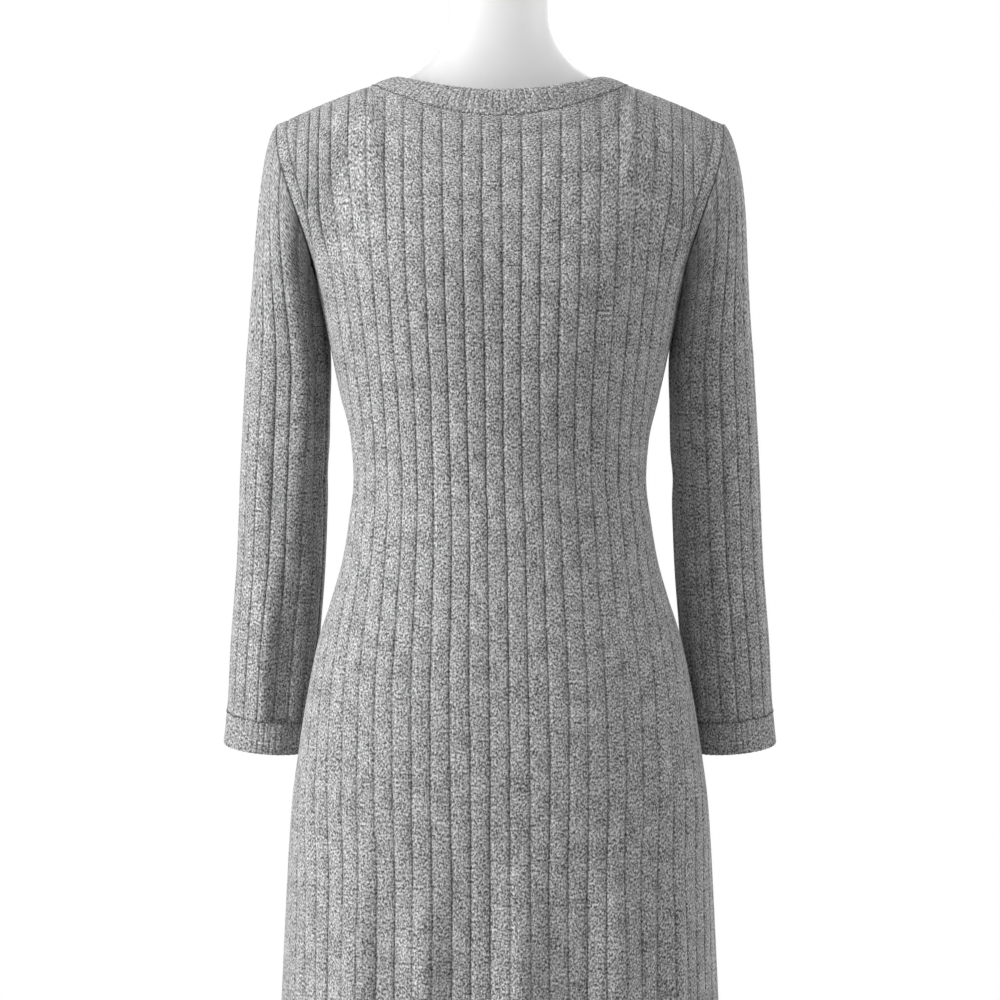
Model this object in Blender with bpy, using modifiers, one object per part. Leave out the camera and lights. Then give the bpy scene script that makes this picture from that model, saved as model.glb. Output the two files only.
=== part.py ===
"""Ribbed knit dress on a limbless dress form with a round stand.

Metres, +Z up. The dress faces -Y and its back faces +Y, so the wearer's left is at +X. The
origin is on the floor, under the middle of the stand's base.

The dress is one closed-fitting skin: level body sections up to the underarm, then lines that
rise from there to the neckline and the shoulder seams, and two sleeve tubes that start on the
armholes. The skin is cut along its seams, and every cut piece is thickened inwards to a wall.
The form under it is the same body skin, moved inwards and closed at the neck, arms and base.
"""
import bisect
import math
from collections import namedtuple

import bmesh
import bpy
import numpy as np
from mathutils import Vector

# Cloth and fit
CLOTH = 0.0018          # wall of the knit
SEAM_GAP = 0.0003       # between two pieces at a seam
FORM_INSET = 0.0050     # from the cloth's outer face in to the form
WELD = 0.000001         # points closer than this are one point
SHARPEST = 1.5          # most that a wall is deepened to keep its thickness at a sharp seam
FOLDED = 0.5            # a seam whose two sides agree less than this is folded, as at an underarm

# Heights
HEM = 0.372
UNDERARM = 1.166
SHOULDER_TIP = Vector((0.1958, 0.0, 1.3182))
SHOULDER_CROWN = 0.0022  # how far the shoulder seam bows up between neck and tip

# How finely the skin is divided
NECK_COLUMNS = 8         # a quarter of the neckline
SHOULDER_COLUMNS = 5     # one shoulder seam
BODY_ROWS = 15           # hem to underarm
RISE_ROWS = 8            # underarm to shoulder, and half of the armhole
HEAD_ROWS = 4            # armhole to upper arm
ARM_ROWS = 8             # upper arm to cuff seam
CUFF_ROWS = 1
FORM_FIRST_ROW = 7       # the body row that the form's base lies on
NECK_ROWS = 6            # neckband to the straight neck
SECTION_STEPS = 180      # a quarter of a level section, when its length is measured
PROBE = 0.005            # height over which a line's direction is measured

# Level sections of the body, from hem to underarm: half width, depth behind and in front of
# the side seams, and the power of the superellipse (2 is an ellipse, more is squarer).
Body = namedtuple("Body", "height half_width back front fullness")
BODY = [
    Body(0.372, 0.1990, 0.152, 0.150, 2.20),
    Body(0.550, 0.1915, 0.146, 0.141, 2.30),
    Body(0.725, 0.1822, 0.134, 0.128, 2.40),
    Body(0.770, 0.1764, 0.131, 0.124, 2.40),
    Body(0.815, 0.1695, 0.126, 0.119, 2.35),
    Body(0.866, 0.1592, 0.118, 0.113, 2.25),
    Body(0.901, 0.1483, 0.111, 0.109, 2.15),
    Body(0.936, 0.1383, 0.104, 0.105, 2.10),
    Body(0.971, 0.1326, 0.099, 0.101, 2.05),
    Body(1.006, 0.1286, 0.096, 0.099, 2.00),
    Body(1.041, 0.1308, 0.097, 0.102, 2.00),
    Body(1.080, 0.1400, 0.102, 0.109, 2.05),
    Body(1.122, 0.1488, 0.108, 0.117, 2.15),
    Body(1.166, 0.1578, 0.112, 0.121, 2.25),
]

# Soft lengthwise folds in the skirt, as ridges: distance round from the centre line (towards
# +X is plus), half width and how far the ridge stands out at the hem. They fade out upwards.
Fold = namedtuple("Fold", "side across half_width depth")
BACK, FRONT = 1, -1
FOLDS = [
    Fold(BACK, 0.128, 0.024, 0.0045),
    Fold(BACK, 0.072, 0.022, 0.0030),
    Fold(BACK, -0.018, 0.030, 0.0050),
    Fold(BACK, -0.104, 0.026, 0.0042),
    Fold(BACK, -0.176, 0.022, 0.0035),
    Fold(FRONT, 0.165, 0.025, 0.0035),
    Fold(FRONT, 0.096, 0.026, 0.0048),
    Fold(FRONT, 0.012, 0.028, 0.0040),
    Fold(FRONT, -0.070, 0.024, 0.0050),
    Fold(FRONT, -0.150, 0.024, 0.0036),
]
FOLD_TOP = 0.735
FOLD_FREE = 0.18         # share of a panel beside each side seam over which folds die away

# The two edges of the neckband: half width at the shoulders, and the place of its middle at
# the back, at the sides and at the front.
NeckEdge = namedtuple("NeckEdge", "half_width back_y back_z side_z front_y front_z")
NECK_SEAM = NeckEdge(0.1120, 0.064, 1.3203, 1.3526, -0.083, 1.250)
NECK_EDGE = NeckEdge(0.0900, 0.053, 1.3440, 1.3600, -0.073, 1.274)
NECK_DIP = {BACK: 2.0, FRONT: 1.7}  # power that shapes the edge's dip: 1 is round, 2 is open
CORNER_EASE = 1.5        # power that closes up the columns where neck and shoulder seams meet

# How far from upright the cloth leans where it ends, on the centre line and at the shoulder.
LEAN_CENTRE = {BACK: math.radians(33), FRONT: math.radians(20)}
LEAN_SHOULDER = {BACK: math.radians(85), FRONT: math.radians(62)}
LEAN_LATE = 3            # power that keeps the change of lean close to the shoulder

# Pulls of the lines that rise from the underarm level to the neck and shoulders.
RISE_START = 0.17
RISE_END_NECK = 0.14
RISE_END_SHOULDER = 0.20
ARMHOLE_PULL = 0.25
ARMHOLE_START = Vector((0.06, 0.76, 0.65))
ARMHOLE_END = Vector((-0.03, -0.86, 0.50))
ARMHOLE_SHARE = 0.34     # outer share of a panel that bends to follow the armhole

# Left sleeve, from the upper arm to the cuff's edge: middle of the tube and its half sizes.
Arm = namedtuple("Arm", "height out forward half_width half_depth")
ARM = [
    Arm(1.138, 0.1880, -0.0240, 0.0345, 0.0500),
    Arm(1.110, 0.1872, -0.0290, 0.0378, 0.0490),
    Arm(1.076, 0.1886, -0.0340, 0.0386, 0.0475),
    Arm(1.006, 0.1917, -0.0420, 0.0396, 0.0455),
    Arm(0.935, 0.1948, -0.0490, 0.0397, 0.0440),
    Arm(0.864, 0.2006, -0.0570, 0.0398, 0.0430),
    Arm(0.810, 0.2046, -0.0630, 0.0389, 0.0420),
    Arm(0.797, 0.2059, -0.0645, 0.0388, 0.0420),
    Arm(0.768, 0.2084, -0.0680, 0.0395, 0.0425),
]
CUFF_SEAM = 0.797        # height of the cuff's seam on the sleeve's middle line
HEAD_START = 0.35        # pulls of the sleeve head's lines, as a share of their length
HEAD_END = 1.10
HEAD_LEAST = 0.06        # length that sets the pulls of the shortest lines, at the underarm

# Form: where the straight neck starts above the dress, its middle line and its rounded top.
NECK_START = NeckEdge(0.0495, 0.042, 1.412, 1.412, -0.062, 1.412)
NECK_Y = -0.010
NECK_TOP = 1.468
NECK_ROUNDING = 0.006
NECK_PULL = 1.0          # pull of the lines up the neck, as a share of their length

# Stand, as turned profiles from the axis outwards: radius and height.
POLE_RADIUS = 0.016
FLANGE_RADIUS = 0.055
FLANGE_THICKNESS = 0.006
BASE_RADIUS = 0.200
BASE_RIM = 0.006
BASE_DOME = 0.011
COLLAR_RADIUS = 0.032
COLLAR_TOP = 0.040
EDGE_ROUND = 0.002
ROUND_STEPS = 48

# Colours, roughness and metallic value
HEATHER_GREY = (0.27, 0.27, 0.27)
FORM_WHITE = (0.82, 0.82, 0.82)
STEEL = (0.62, 0.62, 0.62)

COLUMNS = NECK_COLUMNS + SHOULDER_COLUMNS
NECK_SHARE = NECK_COLUMNS / COLUMNS
SLEEVE_TURNS = [i / (2 * RISE_ROWS) for i in reversed(range(2 * RISE_ROWS))]


def hermite(start, start_pull, end, end_pull, t):
    """Point on the cubic that leaves start along start_pull and reaches end along end_pull."""
    return (
        start * (2 * t**3 - 3 * t**2 + 1)
        + start_pull * (t**3 - 2 * t**2 + t)
        + end * (3 * t**2 - 2 * t**3)
        + end_pull * (t**3 - t**2)
    )


def curve_through(keys, values):
    """A smooth function through a table's values that never overshoots between two rows."""
    steps = np.diff(keys)
    slopes = np.diff(values) / steps
    tangents = np.zeros(len(keys))
    tangents[0], tangents[-1] = slopes[0], slopes[-1]
    for i in range(1, len(keys) - 1):
        if slopes[i - 1] * slopes[i] > 0:
            tangents[i] = 2 * slopes[i - 1] * slopes[i] / (slopes[i - 1] + slopes[i])

    def value_at(key):
        i = min(max(bisect.bisect_right(keys, key) - 1, 0), len(steps) - 1)
        t = (key - keys[i]) / steps[i]
        return hermite(values[i], tangents[i] * steps[i], values[i + 1], tangents[i + 1] * steps[i], t)

    return value_at


def table_curves(rows):
    """One smooth function of height for each other column of a table."""
    rows = sorted(rows)
    heights = [row.height for row in rows]
    return {
        name: curve_through(heights, [getattr(row, name) for row in rows])
        for name in rows[0]._fields
        if name != "height"
    }


BODY_AT = table_curves(BODY)
ARM_AT = table_curves(ARM)


def smoothstep(t):
    t = min(max(t, 0.0), 1.0)
    return t * t * (3 - 2 * t)


def mirrored(point):
    return Vector((-point.x, point.y, point.z))


# ---- body skin ----

def fold_at(side, across, height):
    """How far the skirt stands out at a place, from the soft folds that deepen to the hem."""
    fade = smoothstep((FOLD_TOP - height) / (FOLD_TOP - HEM))
    ridges = (
        fold.depth * math.exp(-(((across - fold.across) / fold.half_width) ** 2))
        for fold in FOLDS
        if fold.side == side
    )
    return fade * sum(ridges)


def body_row(side, height, shares):
    """Points of a level section; share 0 is the centre line, 1 and -1 are the side seams."""
    width = BODY_AT["half_width"](height)
    depth = BODY_AT["back" if side == BACK else "front"](height)
    power = 2 / BODY_AT["fullness"](height)
    turn = np.linspace(0, math.pi / 2, SECTION_STEPS + 1)
    xs = width * np.sin(turn) ** power
    ys = depth * np.cos(turn) ** power
    lengths = np.concatenate([[0.0], np.cumsum(np.hypot(np.diff(xs), np.diff(ys)))])
    points = []
    for share in shares:
        along = abs(share) * lengths[-1]
        x = math.copysign(np.interp(along, lengths, xs), share)
        y = side * np.interp(along, lengths, ys)
        if abs(share) == 1:
            y = 0.0
        outward = Vector((x, y, 0)).normalized()
        stand_out = fold_at(side, math.copysign(along, share), height)
        still = smoothstep((1 - abs(share)) / FOLD_FREE)
        points.append(Vector((x, y, height)) + outward * stand_out * still)
    return points


def neck_point(edge, side, turn):
    """A point of the neckline; turn 0 is the centre line and 1 is the shoulder."""
    angle = (1 - (1 - turn) ** CORNER_EASE) * math.pi / 2
    centre_y, centre_z = (edge.back_y, edge.back_z) if side == BACK else (edge.front_y, edge.front_z)
    dip = max(math.cos(angle), 0.0)
    return Vector((
        edge.half_width * math.sin(angle),
        centre_y * dip,
        edge.side_z + (centre_z - edge.side_z) * dip ** NECK_DIP[side],
    ))


def top_edge(side, share):
    """Where a rising line ends: on the neck seam, or past it on the shoulder seam."""
    if share <= NECK_SHARE:
        return neck_point(NECK_SEAM, side, share / NECK_SHARE)
    t = ((share - NECK_SHARE) / (1 - NECK_SHARE)) ** CORNER_EASE
    point = neck_point(NECK_SEAM, side, 1).lerp(SHOULDER_TIP, t)
    point.z += SHOULDER_CROWN * 4 * t * (1 - t)
    point.y = 0.0
    return point


def rising_point(side, share, t):
    """A point on the line that rises from the underarm level (t 0) to the top edge (t 1)."""
    start, below = (body_row(side, level, [share])[0] for level in (UNDERARM, UNDERARM - PROBE))
    to_shoulder = smoothstep(share / NECK_SHARE) ** LEAN_LATE
    lean = LEAN_CENTRE[side] * (1 - to_shoulder) + LEAN_SHOULDER[side] * to_shoulder
    start_pull = (start - below).normalized() * RISE_START
    end_length = RISE_END_NECK * (1 - to_shoulder) + RISE_END_SHOULDER * to_shoulder
    end_pull = Vector((0, -side * math.sin(lean), math.cos(lean))) * end_length
    to_armhole = smoothstep((share - 1 + ARMHOLE_SHARE) / ARMHOLE_SHARE)
    flip = Vector((1, side, 1))
    start_pull = start_pull.lerp(ARMHOLE_START * flip * ARMHOLE_PULL, to_armhole)
    end_pull = end_pull.lerp(ARMHOLE_END * flip * ARMHOLE_PULL, to_armhole)
    return hermite(start, start_pull, top_edge(side, share), end_pull, t)


def rising_row(side, t, shares):
    points = [rising_point(side, abs(share), t) for share in shares]
    return [point if share >= 0 else mirrored(point) for point, share in zip(points, shares)]


def row_height(i):
    return HEM + (UNDERARM - HEM) * i / BODY_ROWS


def panel_shares(side):
    """Shares across a panel, running so that its faces point outwards."""
    return [-side * i / COLUMNS for i in range(-COLUMNS, COLUMNS + 1)]


def panel_rows(side, first_row=0):
    """Rows of a panel or of the form's half, from a row up to the neck and shoulders."""
    shares = panel_shares(side)
    rows = [body_row(side, row_height(i), shares) for i in range(first_row, BODY_ROWS + 1)]
    rows += [rising_row(side, i / RISE_ROWS, shares) for i in range(1, RISE_ROWS + 1)]
    return rows


def neck_ring(edge):
    """The whole neckline, from the left shoulder round the back, the right and the front."""
    back = [neck_point(edge, BACK, i / NECK_COLUMNS) for i in range(NECK_COLUMNS + 1)]
    front = [neck_point(edge, FRONT, i / NECK_COLUMNS) for i in range(NECK_COLUMNS + 1)]
    ring = back[::-1] + [mirrored(point) for point in back[1:]]
    ring += [mirrored(point) for point in front[-2::-1]] + front[1:-1]
    return ring


# ---- sleeves ----

def arm_middle(height):
    return Vector((ARM_AT["out"](height), ARM_AT["forward"](height), height))


def arm_point(height, turn):
    """A point of the sleeve's section; turn 0 is outside, a quarter is behind."""
    down = (arm_middle(height - PROBE) - arm_middle(height + PROBE)).normalized()
    out = (Vector((1, 0, 0)) - down * down.x).normalized()
    behind = out.cross(down)
    angle = turn * math.tau
    return (
        arm_middle(height)
        + out * ARM_AT["half_width"](height) * math.cos(angle)
        + behind * ARM_AT["half_depth"](height) * math.sin(angle)
    )


def armhole_point(turn):
    """The armhole, from the shoulder tip down its back half and up its front half."""
    if turn <= 0.5:
        return rising_point(BACK, 1.0, 1 - 2 * turn)
    return rising_point(FRONT, 1.0, 2 * turn - 1)


def head_point(turn, t):
    """A point of the sleeve head, between the armhole (t 0) and the upper arm (t 1)."""
    top = ARM[0].height
    start, end = armhole_point(turn), arm_point(top, turn)
    length = max((end - start).length, HEAD_LEAST)
    angle = turn * math.tau
    leave = Vector((
        0.55 + 0.20 * math.cos(angle),
        0.25 * math.sin(angle),
        -0.80 + 0.14 * math.cos(angle),
    )).normalized()
    arrive = (arm_point(top - PROBE, turn) - end).normalized()
    return hermite(start, leave * HEAD_START * length, end, arrive * HEAD_END * length, t)


def sleeve_rows():
    """Rings of the left sleeve, from the armhole down to the cuff's seam."""
    rows = [[head_point(turn, i / HEAD_ROWS) for turn in SLEEVE_TURNS] for i in range(HEAD_ROWS)]
    top = ARM[0].height
    heights = [top + (CUFF_SEAM - top) * i / ARM_ROWS for i in range(ARM_ROWS + 1)]
    rows += [[arm_point(height, turn) for turn in SLEEVE_TURNS] for height in heights]
    return rows


def cuff_rows():
    edge = ARM[-1].height
    heights = [CUFF_SEAM + (edge - CUFF_SEAM) * i / CUFF_ROWS for i in range(CUFF_ROWS + 1)]
    return [[arm_point(height, turn) for turn in SLEEVE_TURNS] for height in heights]


def other_side(rows):
    """The same rings on the other side of the body, with their faces still pointing out."""
    return [[mirrored(point) for point in reversed(row)] for row in rows]


# ---- the skin and its pieces ----

def add_grid(mesh, rows, mark=0, closed=False):
    """Quads between rows of points; their material index marks the piece they belong to."""
    grid = [[mesh.verts.new(point) for point in row] for row in rows]
    columns = len(rows[0])
    for low, high in zip(grid, grid[1:]):
        for i in range(columns if closed else columns - 1):
            j = (i + 1) % columns
            face = mesh.faces.new((low[i], low[j], high[j], high[i]))
            face.material_index = mark
            face.smooth = True
    return grid


def dress_skin(grids):
    """All pieces as one skin, joined at the seams so that both sides share a normal."""
    skin = bmesh.new()
    for mark, (rows, closed) in enumerate(grids.values()):
        add_grid(skin, rows, mark, closed)
    bmesh.ops.remove_doubles(skin, verts=skin.verts, dist=WELD)
    skin.normal_update()
    skin.verts.index_update()
    return skin


def wall_way(vert, mine):
    """The way out of the wall at a point, and whether the seam there is folded shut.

    At an open seam all pieces share one way. At a folded one the pieces whose faces look the
    same way share it, and the piece across the fold has its own.
    """
    own = sum((face.normal for face in mine), Vector()).normalized()
    if own.dot(vert.normal) > FOLDED:
        return vert.normal, False
    kin = [face.normal for face in vert.link_faces if face.normal.dot(own) > 0]
    return sum(kin, Vector()).normalized(), True


def draw_back(vert, mine, normal):
    """Half a seam's gap, square to the seam, from a border point into its own faces."""
    borders = [edge for edge in vert.link_edges if sum(face in mine for face in edge.link_faces) == 1]
    one, two = ((edge.other_vert(vert).co - vert.co).normalized() for edge in borders)
    along = one - two
    along = (along - normal * along.dot(normal)).normalized()
    inward = sum((face.calc_center_median() for face in mine), Vector()) / len(mine) - vert.co
    for away in (normal, along):
        inward -= away * inward.dot(away)
    corner = max(math.sin(one.angle(two) / 2), 0.5)
    return inward.normalized() * SEAM_GAP / 2 / corner


def cut_piece(skin, mark):
    """A closed wall from the skin's faces with this mark, drawn back from its seams.

    The rims of two neighbours are split along the same diagonals, so they stay parallel.
    """
    wall = bmesh.new()
    faces = [face for face in skin.faces if face.material_index == mark]
    outer, inner = {}, {}
    for vert in sorted({vert for face in faces for vert in face.verts}, key=lambda vert: vert.index):
        mine = [face for face in vert.link_faces if face.material_index == mark]
        normal, folded = wall_way(vert, mine)
        place = vert.co.copy()
        if vert.is_boundary or len(mine) < len(vert.link_faces):
            place += draw_back(vert, mine, normal)
        if folded:
            place -= normal * SEAM_GAP / 2
        outer[vert] = wall.verts.new(place)
        depth = CLOTH if folded else CLOTH * min(vert.calc_shell_factor(), SHARPEST)
        inner[vert] = wall.verts.new(place - normal * depth)
    for face in faces:
        wall.faces.new([outer[vert] for vert in face.verts])
        wall.faces.new([inner[vert] for vert in reversed(face.verts)])
        for loop in face.loops:
            shared = [other for other in loop.edge.link_faces if other.material_index == mark]
            if len(shared) == 1:
                a, b = loop.vert, loop.link_loop_next.vert
                if a.index < b.index:
                    rim = (outer[b], outer[a], inner[b]), (outer[a], inner[a], inner[b])
                else:
                    rim = (outer[b], outer[a], inner[a]), (outer[b], inner[a], inner[b])
                for corners in rim:
                    wall.faces.new(corners)
    for face in wall.faces:
        face.smooth = True
    return wall


def form_mesh():
    """The dress form: the body skin moved inwards, with arm plates, a neck and a flat base."""
    form = bmesh.new()
    back = panel_rows(BACK, FORM_FIRST_ROW)
    front = panel_rows(FRONT, FORM_FIRST_ROW)
    add_grid(form, [behind + before for behind, before in zip(back, front)], closed=True)

    seam, edge, straight = (neck_ring(ring) for ring in (NECK_SEAM, NECK_EDGE, NECK_START))
    neck_rows = [seam, edge]
    for row in range(1, NECK_ROWS + 1):
        t = row / NECK_ROWS
        ring = []
        for low, start, end in zip(seam, edge, straight):
            pull = (end - start).length * NECK_PULL
            ring.append(hermite(start, (start - low).normalized() * pull, end, Vector((0, 0, pull)), t))
        neck_rows.append(ring)
    for quarter in (0, 0.5, 1):
        bend = quarter * math.pi / 2
        shrink = 1 - NECK_ROUNDING / NECK_START.half_width * (1 - math.cos(bend))
        height = NECK_TOP - NECK_ROUNDING * (1 - math.sin(bend))
        neck_rows.append([
            Vector((p.x * shrink, NECK_Y + (p.y - NECK_Y) * shrink, height)) for p in straight
        ])
    neck_grid = add_grid(form, neck_rows, closed=True)
    form.faces.new(neck_grid[-1])
    bmesh.ops.remove_doubles(form, verts=form.verts, dist=WELD)
    border = [edge for edge in form.edges if edge.is_boundary]
    bmesh.ops.contextual_create(form, geom=border)
    bmesh.ops.recalc_face_normals(form, faces=form.faces)
    form.normal_update()
    base = row_height(FORM_FIRST_ROW)
    moves = [(vert, vert.normal * FORM_INSET * vert.calc_shell_factor()) for vert in form.verts]
    for vert, move in moves:
        on_base = vert.co.z < base + WELD
        vert.co -= move
        if on_base:
            vert.co.z = base
    return form


# ---- objects ----

def finish(name, colour, roughness, metallic):
    material = bpy.data.materials.new(name)
    material.use_nodes = True
    shader = material.node_tree.nodes["Principled BSDF"]
    shader.inputs["Base Color"].default_value = (*colour, 1)
    shader.inputs["Roughness"].default_value = roughness
    shader.inputs["Metallic"].default_value = metallic
    return material


def add_object(name, mesh_data, collection, material):
    piece = bpy.data.objects.new(name, mesh_data)
    collection.objects.link(piece)
    mesh_data.materials.clear()
    mesh_data.materials.append(material)
    return piece


def add_solid(name, solid, collection, material):
    data = bpy.data.meshes.new(name)
    solid.to_mesh(data)
    solid.free()
    return add_object(name, data, collection, material)


def add_turned(name, profile, collection, material):
    """A solid of revolution from (radius, height) points that run from top to bottom."""
    data = bpy.data.meshes.new(name)
    points = [(radius, 0, height) for radius, height in profile]
    data.from_pydata(points, [(i, i + 1) for i in range(len(points) - 1)], [])
    piece = add_object(name, data, collection, material)
    turn = piece.modifiers.new("turn", "SCREW")
    turn.steps = turn.render_steps = ROUND_STEPS
    turn.use_merge_vertices = True
    turn.merge_threshold = 0.0001
    return piece


def build_dress(collection):
    left_sleeve, left_cuff = sleeve_rows(), cuff_rows()
    grids = {
        "back_panel": (panel_rows(BACK), False),
        "front_panel": (panel_rows(FRONT), False),
        "neckband": ([neck_ring(NECK_SEAM), neck_ring(NECK_EDGE)], True),
        "left_sleeve": (left_sleeve, True),
        "left_cuff": (left_cuff, True),
        "right_sleeve": (other_side(left_sleeve), True),
        "right_cuff": (other_side(left_cuff), True),
    }
    skin = dress_skin(grids)
    for mark, name in enumerate(grids):
        knit = finish(name + "_knit", HEATHER_GREY, 0.9, 0.0)
        add_solid(name, cut_piece(skin, mark), collection, knit)
    skin.free()


def build_form(collection):
    shell = finish("form_shell", FORM_WHITE, 0.45, 0.0)
    add_solid("form_body", form_mesh(), collection, shell)


def build_stand(collection):
    steel = finish("brushed_steel", STEEL, 0.3, 1.0)
    top = row_height(FORM_FIRST_ROW) - SEAM_GAP
    foot = COLLAR_TOP + SEAM_GAP
    pole = [
        (0, top),
        (FLANGE_RADIUS, top),
        (FLANGE_RADIUS, top - FLANGE_THICKNESS),
        (POLE_RADIUS, top - FLANGE_THICKNESS),
        (POLE_RADIUS, foot),
        (0, foot),
    ]
    add_turned("stand_pole", pole, collection, steel)
    base = [
        (0, COLLAR_TOP),
        (COLLAR_RADIUS - EDGE_ROUND, COLLAR_TOP),
        (COLLAR_RADIUS, COLLAR_TOP - EDGE_ROUND),
        (COLLAR_RADIUS, BASE_DOME),
        (BASE_RADIUS - EDGE_ROUND, BASE_RIM),
        (BASE_RADIUS, BASE_RIM - EDGE_ROUND),
        (BASE_RADIUS, EDGE_ROUND),
        (BASE_RADIUS - EDGE_ROUND, 0),
        (0, 0),
    ]
    add_turned("stand_base", base, collection, steel)


def main():
    for old in list(bpy.data.objects):
        bpy.data.objects.remove(old)
    collection = bpy.data.collections.new("sweater_dress")
    bpy.context.scene.collection.children.link(collection)
    build_dress(collection)
    build_form(collection)
    build_stand(collection)


main()
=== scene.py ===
import math
import bmesh
import bpy
import numpy as np
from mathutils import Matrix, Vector


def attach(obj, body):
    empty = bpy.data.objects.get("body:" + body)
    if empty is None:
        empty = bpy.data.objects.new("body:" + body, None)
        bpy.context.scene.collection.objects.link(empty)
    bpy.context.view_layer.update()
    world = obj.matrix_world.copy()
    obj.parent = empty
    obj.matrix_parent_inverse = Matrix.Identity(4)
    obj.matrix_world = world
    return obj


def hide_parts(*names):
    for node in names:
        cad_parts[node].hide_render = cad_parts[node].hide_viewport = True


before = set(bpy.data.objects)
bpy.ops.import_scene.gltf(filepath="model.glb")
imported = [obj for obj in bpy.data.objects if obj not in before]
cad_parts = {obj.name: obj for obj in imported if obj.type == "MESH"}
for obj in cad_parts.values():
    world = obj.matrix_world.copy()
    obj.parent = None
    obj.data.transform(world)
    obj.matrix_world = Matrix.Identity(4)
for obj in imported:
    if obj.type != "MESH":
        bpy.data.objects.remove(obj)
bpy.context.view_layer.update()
scene = bpy.context.scene

# Ribbed knit dress on its form. Metres, +Z up, the back faces +Y, the wearer's left is at +X.
# Each piece of cloth starts as a grid on the dress's skin with columns laid out rib by rib.
# The rib tree sinks the grooves, and a wall is put behind the face.

backSide, frontSide = 1, -1
rightAngle = math.pi / 2
fullTurn = 2 * math.pi
sides = ("left", "right")


def smoothStep(t):
    t = np.clip(t, 0.0, 1.0)
    return t * t * (3 - 2 * t)


def fadeIn(value, start, over):
    return smoothStep((value - start) / over)


def bell(distance, halfWidth):
    return np.exp(-((distance / halfWidth) ** 2))


def unit(vectors):
    return vectors / np.linalg.norm(vectors, axis=-1, keepdims=True)


def lengthAlong(points):
    return np.concatenate([[0.0], np.cumsum(np.linalg.norm(np.diff(points, axis=0), axis=1))])


def onSide(side, points):
    return points * (1 if side == "left" else -1, 1, 1)


def hermite(start, startPull, end, endPull, t):
    return (
        start * (2 * t**3 - 3 * t**2 + 1)
        + startPull * (t**3 - 2 * t**2 + t)
        + end * (3 * t**2 - 2 * t**3)
        + endPull * (t**3 - t**2)
    )


def curveThrough(keys, values):
    keys, values = np.array(keys, float), np.array(values, float)
    steps = np.diff(keys)
    slopes = np.diff(values) / steps
    tangents = np.zeros(len(keys))
    tangents[0], tangents[-1] = slopes[0], slopes[-1]
    for i in range(1, len(keys) - 1):
        if slopes[i - 1] * slopes[i] > 0:
            tangents[i] = 2 * slopes[i - 1] * slopes[i] / (slopes[i - 1] + slopes[i])

    def valueAt(key):
        i = np.clip(np.searchsorted(keys, key, side="right") - 1, 0, len(steps) - 1)
        t = (key - keys[i]) / steps[i]
        return hermite(values[i], tangents[i] * steps[i], values[i + 1], tangents[i + 1] * steps[i], t)

    return valueAt


def tableCurves(names, rows):
    rows = sorted(rows)
    heights = [row[0] for row in rows]
    return {
        name: curveThrough(heights, [row[i + 1] for row in rows])
        for i, name in enumerate(names.split())
    }


body = {
    "hem": 0.372,
    "underarm": 1.166,
    "shoulderTip": (0.1958, 0.0, 1.3182),
    "shoulderCrown": 0.0022,  # how far the shoulder line bows up
    "neckShare": 8 / 13,      # share of a panel's top edge that lies on the neckline
    "cornerEase": 1.5,        # crowds points towards the corner of neck and shoulder
    "probe": 0.005,           # short step on the skin that gives its direction
}
samples = {"section": 361, "row": 401, "ring": 1601, "seam": 2001}     # points on the fine curves
bodyAt = tableCurves("halfWidth back front fullness", [
    (0.372, 0.1990, 0.152, 0.150, 2.20),
    (0.550, 0.1915, 0.146, 0.141, 2.30),
    (0.725, 0.1822, 0.134, 0.128, 2.40),
    (0.770, 0.1764, 0.131, 0.124, 2.40),
    (0.815, 0.1695, 0.126, 0.119, 2.35),
    (0.866, 0.1592, 0.118, 0.113, 2.25),
    (0.901, 0.1483, 0.111, 0.109, 2.15),
    (0.936, 0.1383, 0.104, 0.105, 2.10),
    (0.971, 0.1326, 0.099, 0.101, 2.05),
    (1.006, 0.1286, 0.096, 0.099, 2.00),
    (1.041, 0.1308, 0.097, 0.102, 2.00),
    (1.080, 0.1400, 0.102, 0.109, 2.05),
    (1.122, 0.1488, 0.108, 0.117, 2.15),
    (1.166, 0.1578, 0.112, 0.121, 2.25),
])

# Lengthwise folds of the skirt: distance round from the middle, half width, depth at the hem
skirtFolds = {
    backSide: [
        (0.128, 0.024, 0.0045), (0.072, 0.022, 0.0030), (-0.018, 0.030, 0.0050),
        (-0.104, 0.026, 0.0042), (-0.176, 0.022, 0.0035),
    ],
    frontSide: [
        (0.165, 0.025, 0.0035), (0.096, 0.026, 0.0048), (0.012, 0.028, 0.0040),
        (-0.070, 0.024, 0.0050), (-0.150, 0.024, 0.0036),
    ],
}
foldTop, foldFree = 0.735, 0.18     # height where they start, share of the width that stays free of them

neckSeam = {"halfWidth": 0.1120, backSide: (0.064, 1.3203), "side": 1.3526, frontSide: (-0.083, 1.250)}
neckEdge = {"halfWidth": 0.0900, backSide: (0.053, 1.3440), "side": 1.3600, frontSide: (-0.073, 1.274)}
neckDip = {backSide: 2.0, frontSide: 1.7}

# How a panel rises from the underarm to its top edge: pulls in metres, leans from upright
rise = {
    "start": 0.17,
    "endNeck": 0.14,
    "endShoulder": 0.20,
    "late": 3,      # keeps the middle's pull and lean further out
    "leanMiddle": {backSide: math.radians(33), frontSide: math.radians(20)},
    "leanShoulder": {backSide: math.radians(85), frontSide: math.radians(62)},
    "armholePull": 0.25,
    "armholeStart": (0.06, 0.76, 0.65),
    "armholeEnd": (-0.03, -0.86, 0.50),
    "armholeShare": 0.34,
}


def foldSum(folds, across):
    return sum(depth * bell(across - place, halfWidth) for place, halfWidth, depth in folds)


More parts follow.
